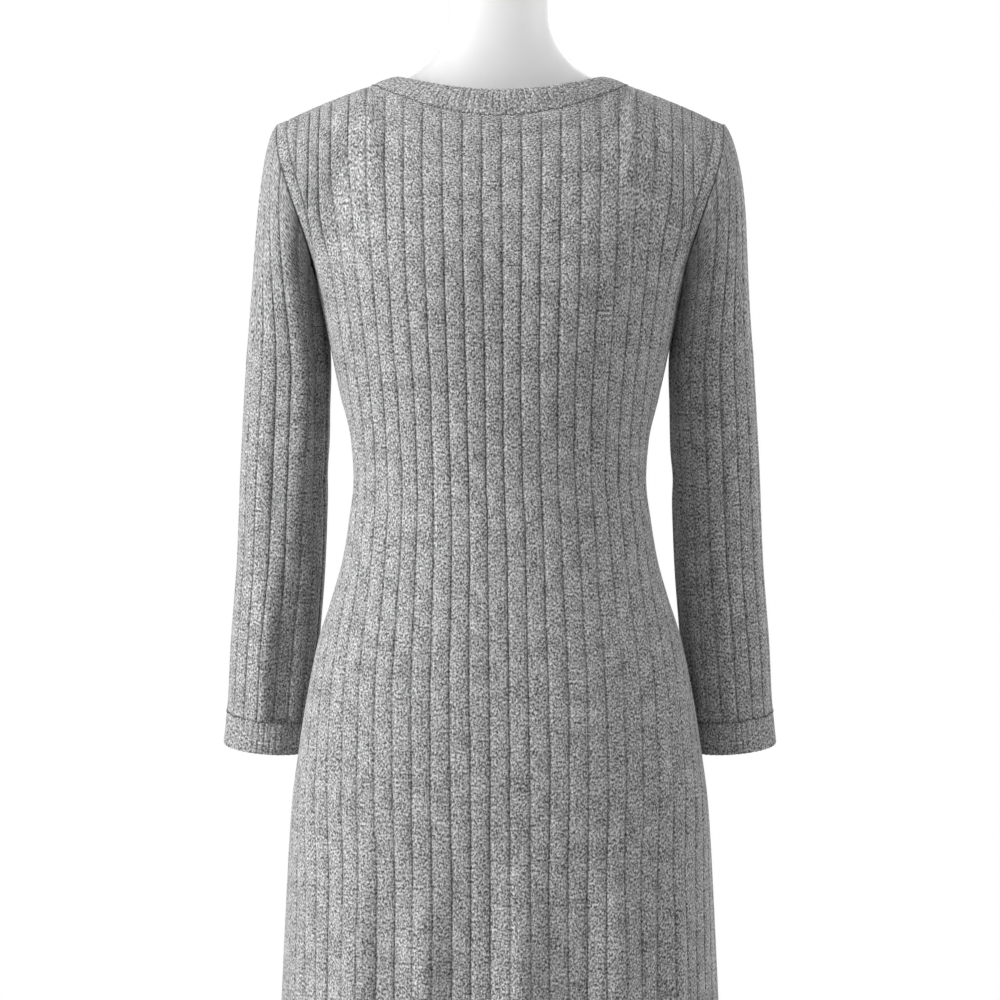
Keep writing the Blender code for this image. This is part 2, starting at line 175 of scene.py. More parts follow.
def levelRow(side, height, shares):
    width, power = bodyAt["halfWidth"](height), 2 / bodyAt["fullness"](height)
    depth = bodyAt["back" if side == backSide else "front"](height)
    turn = np.linspace(0, rightAngle, samples["section"])
    xs, ys = width * np.sin(turn) ** power, depth * np.cos(turn) ** power
    ys[-1] = 0.0
    lengths = lengthAlong(np.stack([xs, ys], 1))
    along = np.abs(shares) * lengths[-1]
    across = np.copysign(along, shares)
    x = np.copysign(np.interp(along, lengths, xs), shares)
    y = side * np.interp(along, lengths, ys)
    standOut = smoothStep((foldTop - height) / (foldTop - body["hem"])) * foldSum(skirtFolds[side], across)
    standOut = 1 + standOut * smoothStep((1 - np.abs(shares)) / foldFree) / np.hypot(x, y)
    return np.stack([x * standOut, y * standOut, np.full_like(x, height)], 1), across


def neckPoint(edge, side, turn):
    angle = (1 - (1 - turn) ** body["cornerEase"]) * rightAngle
    middleY, middleZ = edge[side]
    dip = np.maximum(np.cos(angle), 0.0)
    z = edge["side"] + (middleZ - edge["side"]) * dip ** neckDip[side]
    return np.stack([edge["halfWidth"] * np.sin(angle), middleY * dip, z], -1)


def topEdge(side, share):
    onNeck = neckPoint(neckSeam, side, np.clip(share / body["neckShare"], 0, 1))
    t = np.clip((share - body["neckShare"]) / (1 - body["neckShare"]), 0, 1) ** body["cornerEase"]
    corner, tip = neckPoint(neckSeam, side, np.float64(1)), np.array(body["shoulderTip"])
    onShoulder = corner + (tip - corner) * t[:, None]
    onShoulder[:, 2] += body["shoulderCrown"] * 4 * t * (1 - t)
    onShoulder[:, 1] = 0.0
    return np.where((share <= body["neckShare"])[:, None], onNeck, onShoulder)


def risingPoints(side, share, t):
    start = levelRow(side, body["underarm"], share)[0]
    below = levelRow(side, body["underarm"] - body["probe"], share)[0]
    toShoulder = smoothStep(share / body["neckShare"]) ** rise["late"]
    lean = rise["leanMiddle"][side] * (1 - toShoulder) + rise["leanShoulder"][side] * toShoulder
    endLength = rise["endNeck"] * (1 - toShoulder) + rise["endShoulder"] * toShoulder
    startPull = unit(start - below) * rise["start"]
    endPull = np.stack([0 * lean, -side * np.sin(lean), np.cos(lean)], 1) * endLength[:, None]
    toArmhole = smoothStep((share - 1 + rise["armholeShare"]) / rise["armholeShare"])[:, None]
    flip = np.array([1, side, 1]) * rise["armholePull"]
    startPull += (np.array(rise["armholeStart"]) * flip - startPull) * toArmhole
    endPull += (np.array(rise["armholeEnd"]) * flip - endPull) * toArmhole
    return hermite(start, startPull, topEdge(side, share), endPull, t)


panel = {
    "rowStep": 0.0075,        # rows up to the underarm
    "risingRows": 25,         # rows from there to the neck and shoulders
    "risingLength": 0.165,    # distance that those rows cover
    "hemRows": (0, 0.0006, 0.0018),
    "turningRows": (-0.0016, -0.0007, 0, 0.0007, 0.0016),
    "hemClear": 0.004,        # plain rows keep this far from the hem
    "turningClear": 0.003,    # and this far from the line of its turning
    "seamGap": 0.00006,       # half the gap that is left at a seam
    "seamDip": 0.0008,        # how far the cloth dips at a seam
    "seamHalfWidth": 0.0016,
    "dipFade": 0.012,         # a seam's dip fades this near to a corner
    "creaseFade": 0.03,       # creases fade this near to the top edge
    "foldFade": 0.02,         # folds fade this near to the side seam
    "hemTurning": 0.024,      # height of the turned hem
    "armholeBand": 0.0104,    # smooth band beside the armhole seam
    "bandEdge": 0.002,
    # strength and half width of the painted shade along the band's groove and the armhole seam
    "bandShade": 1.5,
    "shadeHalfWidth": 0.0008,
    "ribWidth": 0.0165,
    "ribReach": 18,           # ribs each side of the middle
    "ribsAtTop": 0.25,        # share of the ribs' depth that is left at the top edge
    "topFade": (0.002, 0.008),
    "wander": ((0.018, 23, 1.7), (0.009, 83, 2.9)),    # ribs' small wandering: size, wave, shift
}
dipShare = {"armhole": 0.6, "neckline": 0.3, "cuff": 0.6}     # of the full dip at a seam

# Lines pressed into the cloth: depth, half width
pressed = {
    "armholeBand": (0.0009, 0.0010),
    "turning": (0.0007, 0.0011),
    "hem": (0.0006, 0.0010),
    "trimEdge": (0.0007, 0.0008),
}

# Over the shoulders the ribs' count follows x, spread a little, and steps out beside the armhole
overTop = {"spread": 1.6, "step": 0.0175, "stepFrom": 0.146, "stepOver": 0.030}

# Where on the rise, from 0 to 1, a change starts and over how much it goes
blend = {"ribs": (0.1, 0.5), "columns": (0.0, 0.2), "band": (0.06, 0.3)}
neckCornerFrom = 0.95

ribSteps = (-0.30, -0.11, -0.05, 0.0, 0.05, 0.11, 0.30, 0.50)   # where a rib has columns
sideColumns = np.array((0.0038, 0.0030, 0.0024, 0.0018, 0.0013, 0.0009, 0.0005, panel["seamGap"]))
armholeColumns = np.array((0.0118, 0.0111, 0.0104, 0.0097, 0.0090, 0.0050, 0.0018, panel["seamGap"]))
topDistances = (0.024, 0.016, 0.0095, 0.0055, 0.0030, 0.0014, 0.0006, panel["seamGap"])

# Width of one rib by height, and how far the middle groove of the back leans to the right
ribAt = tableCurves("width lean", [
    (0.372, 0.0165, -0.0085),
    (0.650, 0.0163, -0.0085),
    (0.750, 0.0168, -0.0085),
    (0.820, 0.0168, -0.0077),
    (0.887, 0.0163, -0.0067),
    (0.955, 0.0158, -0.0058),
    (1.010, 0.0155, -0.0037),
    (1.070, 0.0155, -0.0028),
    (1.130, 0.0159, -0.0022),
    (1.210, 0.0166, -0.0018),
    (1.270, 0.0170, -0.0016),
    (1.360, 0.0172, -0.0016),
])

# Soft creases: across from the middle, height, direction in degrees, half length, half width, depth
panelCreases = {
    backSide: [
        (0.050, 1.012, 8, 0.050, 0.009, -0.0012),
        (-0.045, 1.030, -10, 0.055, 0.010, -0.0012),
        (0.020, 1.045, 4, 0.060, 0.012, 0.0010),
        (-0.070, 0.992, 12, 0.040, 0.009, 0.0010),
        (0.095, 0.985, -14, 0.040, 0.010, -0.0012),
        (-0.105, 1.005, 16, 0.035, 0.010, -0.0010),
        (0.112, 1.190, 62, 0.050, 0.018, -0.0008),
        (-0.112, 1.185, -60, 0.055, 0.018, -0.0008),
        (0.078, 1.165, 90, 0.110, 0.042, 0.0036),
        (-0.006, 1.170, 90, 0.110, 0.030, -0.0022),
        (-0.080, 1.165, 90, 0.110, 0.034, 0.0042),
    ],
    frontSide: [
        (0.052, 1.006, -9, 0.050, 0.010, -0.0013),
        (-0.048, 1.022, 8, 0.055, 0.010, -0.0012),
        (0.010, 1.038, -3, 0.060, 0.012, 0.0011),
        (0.100, 0.990, 15, 0.040, 0.010, -0.0012),
        (-0.098, 0.986, -12, 0.040, 0.010, -0.0011),
        (0.118, 1.185, 58, 0.050, 0.014, -0.0018),
        (-0.116, 1.190, -61, 0.050, 0.014, -0.0018),
    ],
}

# Narrower folds that start higher up: across from the middle, half width, depth
softFolds = {
    "top": 0.715,
    "full": 0.600,
    backSide: [
        (0.123, 0.014, 0.0062), (0.063, 0.015, 0.0070), (-0.018, 0.015, 0.0076),
        (-0.099, 0.014, 0.0070), (-0.159, 0.012, 0.0060), (0.160, 0.010, 0.0014),
    ],
    frontSide: [
        (0.161, 0.013, 0.0040), (0.094, 0.014, 0.0054), (0.011, 0.015, 0.0060),
        (-0.069, 0.014, 0.0056), (-0.149, 0.013, 0.0042),
    ],
}


def pressedLine(name, distance):
    depth, halfWidth = pressed[name]
    return depth * bell(distance, halfWidth)


def foldLift(side, across, along):
    grown = smoothStep((softFolds["top"] - along) / (softFolds["top"] - softFolds["full"]))
    return grown * foldSum(softFolds[side], across)


def creaseLift(creases, across, along):
    lift = np.zeros_like(across)
    for place, height, direction, halfLength, halfWidth, depth in creases:
        c, s = math.cos(math.radians(direction)), math.sin(math.radians(direction))
        u, v = across - place, along - height
        lift += depth * bell(u * c + v * s, halfLength) * bell(v * c - u * s, halfWidth)
    return lift


def panelRow(side, height, t):
    # A fine row of a panel, with the rib count and the length along it at each point
    middle = samples["row"] // 2
    if t == 0:
        points, across = levelRow(side, height, np.linspace(-1, 1, samples["row"]))
    else:
        half = risingPoints(side, np.linspace(0, 1, middle + 1), t)
        points = np.concatenate([onSide("right", half[:0:-1]), half])
        x = points[:, 0]
        flat = lengthAlong(points * (1, 1, 0))
        step = overTop["step"] * np.sign(x) * fadeIn(np.abs(x), overTop["stepFrom"], overTop["stepOver"])
        onTop = x * (1 + overTop["spread"] * x * x) + step
        across = flat - flat[middle]
        across += (onTop - across) * fadeIn(t, *blend["ribs"])
    lean = ribAt["lean"](points[:, 2]) if side == backSide else 0.0
    rib = (across - lean) / ribAt["width"](points[:, 2])
    for size, wave, shift in panel["wander"]:
        rib += size * np.sin(points[:, 2] * wave + rib * shift)
    return points, rib, lengthAlong(points), across


def panelLevels():
    hem, hemLine = body["hem"], body["hem"] + panel["hemTurning"]
    heights = np.arange(hem + panel["hemClear"], body["underarm"], panel["rowStep"])
    levels = [(h, 0.0) for h in heights if abs(h - hemLine) > panel["turningClear"]]
    levels += [(hem + d, 0.0) for d in panel["hemRows"]]
    levels += [(hemLine + d, 0.0) for d in panel["turningRows"]]
    levels.append((body["underarm"], 0.0))
    last = 1 - topDistances[0] / panel["risingLength"]
    rising = list(np.arange(1, panel["risingRows"]) / panel["risingRows"] * last)
    rising += [1 - d / panel["risingLength"] for d in topDistances]
    return sorted(levels) + [(body["underarm"], t) for t in rising]


def gridRow(points, rib, ribbed, lift, shade=0.0):
    values = {"rib": rib, "ribbed": ribbed, "lift": lift, "shade": shade}
    return {"point": points, **{key: np.broadcast_to(value, len(rib)) for key, value in values.items()}}


def stackRows(rows, turned=False):
    # In a turned grid the columns run the other way, so that its faces point outwards
    way = -1 if turned else 1
    return {key: np.array([row[key][::way] for row in rows]) for key in rows[0]}


def panelGrid(side):
    columns = [n + s for n in range(-panel["ribReach"], panel["ribReach"] + 1) for s in ribSteps]
    hemLine = body["hem"] + panel["hemTurning"]
    rows = []
    for height, t in panelLevels():
        points, rib, length, across = panelRow(side, height, t)
        toArmhole = fadeIn(t, *blend["columns"])
        near = sideColumns + (armholeColumns - sideColumns) * toArmhole
        core = np.clip(np.interp(columns, rib, length), near[0], length[-1] - near[0])
        if t > neckCornerFrom:      # a column ends at each corner of the neckline
            for way in (-1, 1):
                corner = np.interp(way * neckSeam["halfWidth"], points[:, 0], length)
                core[np.argmin(np.abs(core - corner))] = corner
        places = np.concatenate([near[::-1], core, length[-1] - near])
        edge = np.minimum(places, length[-1] - places)
        top = (1 - t) * panel["risingLength"] if t else 1.0
        along = np.interp(places, length, points[:, 2])
        band = fadeIn(t, *blend["band"])
        fromBand = edge - panel["armholeBand"]
        onNeckline = np.abs(np.interp(places, length, points[:, 0])) < neckSeam["halfWidth"]
        dips = np.maximum(
            bell(edge, panel["seamHalfWidth"]) * (1 - (1 - dipShare["armhole"]) * toArmhole),
            bell(top, panel["seamHalfWidth"]) * np.where(onNeckline, dipShare["neckline"], 1.0),
        )
        lift = -panel["seamDip"] * dips * smoothStep(np.hypot(edge, top) / panel["dipFade"])
        lift -= pressedLine("armholeBand", fromBand) * band
        lift -= pressedLine("turning", along - hemLine) + pressedLine("hem", along - body["hem"])
        across = np.interp(places, length, across)
        lift += creaseLift(panelCreases[side], across, along) * smoothStep(top / panel["creaseFade"])
        if t == 0:
            lift += foldLift(side, across, along) * smoothStep(edge / panel["foldFade"])
        onBand = band * (1 - smoothStep(fromBand / panel["bandEdge"]))
        leastRib = panel["ribsAtTop"]
        # Painted shade: darkens the colour along the armhole seam and the band's groove beside it
        bandShade = panel["bandShade"] * bell(fromBand, panel["shadeHalfWidth"])
        shade = band * np.maximum(bandShade, bell(edge, panel["shadeHalfWidth"]))
        ribbed = (1 - onBand) * (leastRib + (1 - leastRib) * fadeIn(top, *panel["topFade"]))
        placed = np.stack([np.interp(places, length, points[:, k]) for k in range(3)], 1)
        rows.append(gridRow(placed, np.interp(places, length, rib), ribbed, lift, shade))
    return stackRows(rows, side == backSide)


neckband = {
    "ribs": 112,
    "ribsFrom": 0.0025,
    "rows": 10,
    "seamRows": (panel["seamGap"], 0.0006, 0.0014, 0.0030),
    "edgeRows": (0.0016, 0.0008, 0.0003, 0.0),
    "bulge": 0.0012,
    "scallop": 0.0003,
}
trim = {"seamHalfWidth": 0.0015, "scallopReach": 0.003}     # neckband and cuffs
fineSteps = (-0.32, -0.12, 0.0, 0.12, 0.32, 0.5)


def neckRing(edge, turn):
    # turn 0 to 1 goes from the left shoulder round the back, the right and the front
    quarter = np.floor(turn * 4) % 4
    part = turn * 4 % 1
    out = np.where(quarter % 2 == 0, 1 - part, part)
    back, front = neckPoint(edge, backSide, out), neckPoint(edge, frontSide, out)
    points = np.where((quarter < 2)[:, None], back, front)
    points[:, 0] *= np.where((quarter == 0) | (quarter == 3), 1, -1)
    return points


def ringColumns(count, steps):
    return np.array([n + s for n in range(count) for s in steps])


def neckGrid():
    fine = np.linspace(0, 1, samples["ring"])
    length = lengthAlong((neckRing(neckSeam, fine % 1) + neckRing(neckEdge, fine % 1)) / 2)
    rib = ringColumns(neckband["ribs"], fineSteps)
    turn = np.interp(rib / neckband["ribs"] % 1 * length[-1], length, fine) % 1
    low, high = neckRing(neckSeam, turn), neckRing(neckEdge, turn)
    width = np.linalg.norm(high - low, axis=1).mean()
    places = list(neckband["seamRows"])
    places += [width * i / neckband["rows"] for i in range(2, neckband["rows"])]
    places += [width - d for d in neckband["edgeRows"]]
    rows = []
    for place in places:
        share = place / width
        toTop = smoothStep((place - width + trim["scallopReach"]) / trim["scallopReach"])
        seamDip = dipShare["neckline"] * panel["seamDip"] * bell(place, trim["seamHalfWidth"])
        points = low + (high - low) * share
        points += unit(high - low) * (neckband["scallop"] * toTop * np.cos(fullTurn * (rib - 0.5)))[:, None]
        lift = neckband["bulge"] * 4 * share * (1 - share) - seamDip - pressedLine("trimEdge", width - place)
        rows.append(gridRow(points, rib, smoothStep(place / neckband["ribsFrom"]), lift))
    return stackRows(rows)


sleeve = {
    "ribs": 17,
    "ribWidth": 0.0155,
    "girth": 0.265,           # turns of the arm into metres, for the creases
    "cuffSeam": 0.797,
    "rowStep": 0.0060,
    "rowClear": 0.004,        # plain rows keep this far from the cuff seam
    "seamRows": (panel["seamGap"], 0.0007, 0.0015, 0.0030, 0.0050),
    "cuffRows": (0.0030, 0.0014, 0.0007, panel["seamGap"]),
    "headRows": 24,
    "headLength": 0.12,
    "headStart": 0.35,        # pulls, as shares of the way from the armhole to the arm
    "headEnd": 1.10,
    "headLeast": 0.06,
    "headLeave": {"out": (0.55, 0.20), "back": (0.0, 0.25), "up": (-0.80, 0.14)},     # mean, swing
    "gather": 1.6,            # how fast the ribs spread from the armhole
    "dipFree": 0.05,          # share of a turn at the top with less dip
    "crowded": (0.2, 0.5),    # ribs fade where they crowd together
    "phase": {"left": 0.62, "right": 0.90},    # where the first groove lies, in ribs
}
# Where a rib that lies at a turn of the arm ends on the armhole's seam, down one half
ribEnds = ((0, 0.10, 0.167, 0.208, 0.25, 0.29, 0.333, 0.375, 0.42, 0.5),
           (0, 0.022, 0.042, 0.062, 0.105, 0.19, 0.31, 0.40, 0.455, 0.5))
cuff = {
    "ribs": 46,
    "ribWidth": 0.0057,
    "phase": 0.25,
    "rowStep": 0.0032,
    "seamRows": (panel["seamGap"], 0.0007, 0.0015, 0.0028),
    "plainRows": (0.0055, 0.0015),     # distance of the first one from the seam, least distance from the edge
    "edgeRows": (0.0014, 0.0007, 0.0002),
    "scallop": 0.0001,
}
armAt = tableCurves("out forward halfWidth halfDepth", [
    (1.138, 0.1880, -0.0240, 0.0345, 0.0500),
    (1.110, 0.1872, -0.0290, 0.0378, 0.0490),
    (1.076, 0.1886, -0.0340, 0.0386, 0.0475),
    (1.006, 0.1917, -0.0420, 0.0396, 0.0455),
    (0.935, 0.1948, -0.0490, 0.0397, 0.0440),
    (0.864, 0.2006, -0.0570, 0.0398, 0.0430),
    (0.810, 0.2046, -0.0630, 0.0389, 0.0420),
    (0.797, 0.2059, -0.0645, 0.0388, 0.0420),
    (0.768, 0.2084, -0.0680, 0.0395, 0.0425),
])
armTop, cuffEdge = 1.138, 0.768

# Soft creases of a sleeve: turn round it, height, direction, half length, half width, depth
sleeveCreases = {
    "left": [
        (0.00, 1.235, 90, 0.040, 0.040, -0.0026),
        (0.50, 1.150, 0, 0.050, 0.022, 0.0034),
        (0.228, 1.030, 90, 0.090, 0.0105, -0.0030),
        (0.318, 1.090, 92, 0.100, 0.0090, 0.0048),
        (0.395, 1.080, 90, 0.110, 0.0100, -0.0044),
        (0.150, 0.990, 91, 0.090, 0.0100, 0.0016),
        (0.216, 0.840, 90, 0.065, 0.0100, 0.0044),
        (0.300, 0.835, 90, 0.070, 0.0110, -0.0048),
        (0.40, 1.000, 15, 0.030, 0.0120, -0.0015),
        (0.60, 1.015, -18, 0.032, 0.0120, -0.0017),
        (0.72, 0.990, 22, 0.030, 0.0120, -0.0015),
        (0.88, 1.005, -12, 0.026, 0.0110, -0.0013),
        (0.66, 1.090, 30, 0.035, 0.0120, -0.0015),
        (0.78, 0.900, 88, 0.050, 0.0100, -0.0014),
    ],
    "right": [
        (0.00, 1.262, 90, 0.060, 0.050, 0.0030),
        (0.50, 1.150, 0, 0.050, 0.022, 0.0034),
        (0.186, 1.018, 38, 0.016, 0.0075, -0.0019),
        (0.115, 0.996, 42, 0.015, 0.0075, -0.0016),
        (0.24, 1.000, 88, 0.070, 0.0095, -0.0013),
        (0.31, 1.010, 92, 0.060, 0.0090, 0.0012),
        (0.20, 0.890, 92, 0.050, 0.0100, -0.0013),
        (0.42, 1.010, 18, 0.030, 0.0120, -0.0015),
        (0.58, 1.000, -15, 0.032, 0.0120, -0.0016),
        (0.75, 1.015, 20, 0.030, 0.0120, -0.0015),
        (0.90, 0.985, -16, 0.026, 0.0110, -0.0013),
        (0.68, 1.095, 28, 0.035, 0.0120, -0.0015),
        (0.80, 0.890, 92, 0.050, 0.0100, -0.0013),
    ],
}


def armPoints(height, turn):
    def middle(level):
        return np.array([armAt["out"](level), armAt["forward"](level), level])

    down = unit(middle(height - body["probe"]) - middle(height + body["probe"]))
    out = unit(np.array([1.0, 0, 0]) - down * down[0])
    behind = np.cross(out, down)
    angle = (turn * fullTurn)[:, None]
    spread = out * armAt["halfWidth"](height) * np.cos(angle)
    return middle(height) + spread + behind * armAt["halfDepth"](height) * np.sin(angle)


def armholeSeam(turn):
    one = np.ones_like(turn)
    behind = risingPoints(backSide, one, (1 - 2 * turn)[:, None])
    before = risingPoints(frontSide, one, (2 * turn - 1)[:, None])
    return np.where((turn <= 0.5)[:, None], behind, before)


def headPoints(turn, t):
    start = armholeSeam(turn)
    end = armPoints(armTop, turn)
    length = np.maximum(np.linalg.norm(end - start, axis=1), sleeve["headLeast"])[:, None]
    c, s = np.cos(turn * fullTurn), np.sin(turn * fullTurn)
    swings = zip(sleeve["headLeave"].values(), (c, s, c))
    leave = unit(np.stack([mean + swing * wave for (mean, swing), wave in swings], 1))
    arrive = unit(armPoints(armTop - body["probe"], turn) - end)
    return hermite(start, leave * sleeve["headStart"] * length, end, arrive * sleeve["headEnd"] * length, t)


def tubeGrid(side, levels, rib, ribs, phase, creases):
    # A level is its height, its t and its dip; t below 1 lies on the sleeve head
    turn = (rib + phase) / ribs % 1
    order = np.argsort(turn)
    turn, rib = turn[order], rib[order]
    fromTop = np.minimum(turn, 1 - turn)
    end = np.interp(fromTop, *ribEnds)
    end = np.where(turn > 0.5, 1 - end, end)
    rows = []
    for height, t, dip in levels:
        place = end + (turn - end) * (1 - (1 - min(t, 1)) ** sleeve["gather"])
        points = headPoints(place, t) if t < 1 else armPoints(height, turn)
        dips = dip * smoothStep(fromTop / sleeve["dipFree"]) if t < 0.5 else dip
        lift = creaseLift(creases, turn * sleeve["girth"], points[:, 2]) - dips
        crowding = np.linalg.norm(points - np.roll(points, len(ribSteps), 0), axis=1) / sleeve["ribWidth"]
        ribbed = fadeIn(crowding, *sleeve["crowded"]) if t < 1 else 1.0
        rows.append(gridRow(points, rib, ribbed, lift))
    grid = stackRows(rows, side == "left")
    grid["point"] = onSide(side, grid["point"])
    return grid


def sleeveGrid(side):
    def dip(distance):
        return panel["seamDip"] * dipShare["armhole"] * bell(distance, panel["seamHalfWidth"])

    heights = np.arange(armTop, sleeve["cuffSeam"] + sleeve["rowClear"], -sleeve["rowStep"])
    levels = [(0, d / sleeve["headLength"], dip(d)) for d in sleeve["seamRows"]]
    levels += [(0, i / sleeve["headRows"], 0) for i in range(2, sleeve["headRows"])]
    levels += [(h, 1, 0) for h in heights]
    levels += [(sleeve["cuffSeam"] + d, 1, dip(d)) for d in sleeve["cuffRows"]]
    rib = ringColumns(sleeve["ribs"], ribSteps)
    creases = [(turn * sleeve["girth"], *rest) for turn, *rest in sleeveCreases[side]]
    return tubeGrid(side, levels, rib, sleeve["ribs"], sleeve["phase"][side], creases)


def cuffGrid(side):
    length = sleeve["cuffSeam"] - cuffEdge
    first, clear = cuff["plainRows"]
    fromSeam = list(cuff["seamRows"]) + list(np.arange(first, length - clear, cuff["rowStep"]))
    fromSeam += [length - d for d in cuff["edgeRows"]]
    levels = []
    for place in fromSeam:
        dip = dipShare["cuff"] * panel["seamDip"] * bell(place, trim["seamHalfWidth"])
        dip += pressedLine("trimEdge", length - place)
        levels.append((sleeve["cuffSeam"] - place, 1, dip))
    rib = ringColumns(cuff["ribs"], fineSteps)
    grid = tubeGrid(side, levels, rib, cuff["ribs"], cuff["phase"], [])
    toEdge = smoothStep((cuffEdge + trim["scallopReach"] - grid["point"][:, :, 2]) / trim["scallopReach"])
    grid["point"][:, :, 2] -= cuff["scallop"] * toEdge * np.cos(fullTurn * (grid["rib"] - 0.5))
    return grid


def feed(tree, node, values):
    for key, value in values.items():
        if isinstance(value, bpy.types.NodeSocket):
            tree.links.new(value, node.inputs[key])
        else:
            node.inputs[key].default_value = value


def addNode(tree, kind, values, **settings):
    node = tree.nodes.new(kind)
    for key, value in settings.items():
        setattr(node, key, value)
    feed(tree, node, values)
    return node


def maths(tree, operation, *values):
    return addNode(tree, "ShaderNodeMath", dict(enumerate(values)), operation=operation).outputs[0]


def times(tree, first, second):
    return maths(tree, "MULTIPLY", first, second)


def vectorMaths(tree, operation, *values):
    return addNode(tree, "ShaderNodeVectorMath", dict(enumerate(values)), operation=operation).outputs[0]


def scaled(tree, vector, factor):
    return addNode(tree, "ShaderNodeVectorMath", {0: vector, "Scale": factor}, operation="SCALE").outputs[0]


def nodeTree(name, kind, inputs, outputs):
    tree = bpy.data.node_groups.new(name, kind)
    for way, sockets in (("INPUT", inputs), ("OUTPUT", outputs)):
        for label, socketKind in sockets.items():
            tree.interface.new_socket(name=label, in_out=way, socket_type="NodeSocket" + socketKind)
    return tree, tree.nodes.new("NodeGroupInput"), tree.nodes.new("NodeGroupOutput")


def runTree(piece, tree, values):
    modifier = piece.modifiers.new(tree.name, "NODES")
    modifier.node_group = tree
    for item in tree.interface.items_tree:
        if item.in_out == "INPUT" and item.name in values:
            modifier[item.identifier] = values[item.name]


def settle(piece):
    # Turns the piece and its modifiers into one plain mesh
    evaluated = piece.evaluated_get(bpy.context.evaluated_depsgraph_get())
    made = bpy.data.meshes.new_from_object(evaluated)
    made.name = piece.name
    piece.modifiers.clear()
    piece.data = made
    return piece


def grooveDistance(tree, rib):
    return maths(tree, "ABSOLUTE", maths(tree, "SUBTRACT", rib, maths(tree, "ROUND", rib)))


def bellNodes(tree, distance, halfWidth):
    share = maths(tree, "DIVIDE", distance, halfWidth)
    squared = times(tree, share, share)
    return maths(tree, "EXPONENT", times(tree, squared, -1.0))


def finishTree(tree, given, made, geometry):
    real = addNode(tree, "GeometryNodeRealizeInstances", {0: geometry})
    values = {0: real.outputs[0], "Material": given.outputs["Finish"]}
    tree.links.new(addNode(tree, "GeometryNodeSetMaterial", values).outputs[0], made.inputs[0])
    return tree


def makeRibTree():
    inputs = {"Cloth": "Geometry", "Finish": "Material"}
    inputs.update(dict.fromkeys(("Groove Depth", "Groove Half Width", "Crown"), "Float"))
    tree, given, made = nodeTree("ribTree", "GeometryNodeTree", inputs, {"Cloth": "Geometry"})

    def named(name):
        return addNode(tree, "GeometryNodeInputNamedAttribute", {"Name": name}, data_type="FLOAT").outputs[0]

    rib, ribbed, lift = named("rib"), named("ribbed"), named("lift")
    groove = bellNodes(tree, grooveDistance(tree, rib), given.outputs["Groove Half Width"])
    cosine = maths(tree, "COSINE", times(tree, rib, math.pi))
    crown = times(tree, times(tree, cosine, cosine), given.outputs["Crown"])
    sunk = maths(tree, "MULTIPLY_ADD", groove, given.outputs["Groove Depth"], crown)
    height = maths(tree, "SUBTRACT", lift, times(tree, sunk, ribbed))
    normal = tree.nodes.new("GeometryNodeInputNormal").outputs[0]
    moved = {"Geometry": given.outputs["Cloth"], "Offset": scaled(tree, normal, height)}
    return finishTree(tree, given, made, addNode(tree, "GeometryNodeSetPosition", moved).outputs[0])


def makeLoopTree():
    # One linking loop on each edge of a path
    inputs = {"Path": "Geometry", "Loop Width": "Float", "Loop Length": "Float", "Finish": "Material"}
    tree, given, made = nodeTree("linkingTree", "GeometryNodeTree", inputs, {"Loops": "Geometry"})
    ends = tree.nodes.new("GeometryNodeInputMeshEdgeVertices")
    way = vectorMaths(tree, "SUBTRACT", ends.outputs["Position 2"], ends.outputs["Position 1"])
    kept = tree.nodes.new("GeometryNodeCaptureAttribute")
    kept.domain = "EDGE"
    kept.capture_items.new("VECTOR", "Way")
    tree.links.new(given.outputs["Path"], kept.inputs[0])
    tree.links.new(way, kept.inputs["Way"])
    points = addNode(tree, "GeometryNodeMeshToPoints", {"Mesh": kept.outputs[0]}, mode="EDGES")
    bead = addNode(tree, "GeometryNodeMeshUVSphere", {"Segments": 6, "Rings": 5, "Radius": 0.5})
    smooth = addNode(tree, "GeometryNodeSetShadeSmooth", {0: bead.outputs[0]})
    way = kept.outputs["Way"]
    turned = addNode(tree, "FunctionNodeAlignRotationToVector", {"Vector": way}, axis="X")
    length = addNode(tree, "ShaderNodeVectorMath", {0: way}, operation="LENGTH").outputs["Value"]
    loopLength = times(tree, length, given.outputs["Loop Length"])
    loopWidth = given.outputs["Loop Width"]
    scale = addNode(tree, "ShaderNodeCombineXYZ", {"X": loopLength, "Y": loopWidth, "Z": loopWidth})
    placed = addNode(tree, "GeometryNodeInstanceOnPoints", {
        "Points": points.outputs[0],
        "Instance": smooth.outputs[0],
        "Rotation": turned.outputs[0],
        "Scale": scale.outputs[0],
    })
    return finishTree(tree, given, made, placed.outputs[0])


yarn = {
    "speckSize": 0.0019,      # size of the marl's specks
    "course": 0.0016,         # height of one stitch
    "tones": [(0.25, 0.056), (0.38, 0.137), (0.50, 0.255), (0.62, 0.375), (0.75, 0.55)],
    "toneShift": 0.372,
    "coolness": 1.01,         # blue over red
    # near black tone of the painted shade in the grooves and along the armhole seam
    "grooveShadeTone": (0.03, 0.03, 0.03, 1),
    "unevenGrooveShade": (1.7, -0.15),     # how unevenly the painted shade darkens the grooves along their length
    "loopSlant": -1.2,
    "loopRelief": 0.45,
    "speckRelief": 0.9,
    "bump": 0.0005,
    "bumpStrength": 0.8,
    "fleckEdge": 1.4,
}
knitSurface = {"Roughness": 0.92, "Specular IOR Level": 0.15, "Sheen Weight": 0.18, "Sheen Roughness": 0.45}

# Noises of the marl: stretch along a rib, fineness, detail, share of the tone
noises = {
    "specks": (0.85, 1.0, 1.0, 0.95),
    "fibres": (0.60, 1.6, 0.0, 0.55),
    "clouds": (0.70, 0.14, 1.0, 0.25),
    # this noise only makes the painted shade in the grooves uneven
    "unevenGrooveShade": (0.12, 0.30, 1.0, 0.0),
}

# Scattered round flecks: size of a cell, radius of a fleck, share of cells with one, shift, tone
flecks = [
    (0.0050, 0.0012, 0.36, 0.0, -0.20),
    (0.0044, 0.0007, 0.30, 0.7, 0.14),
]


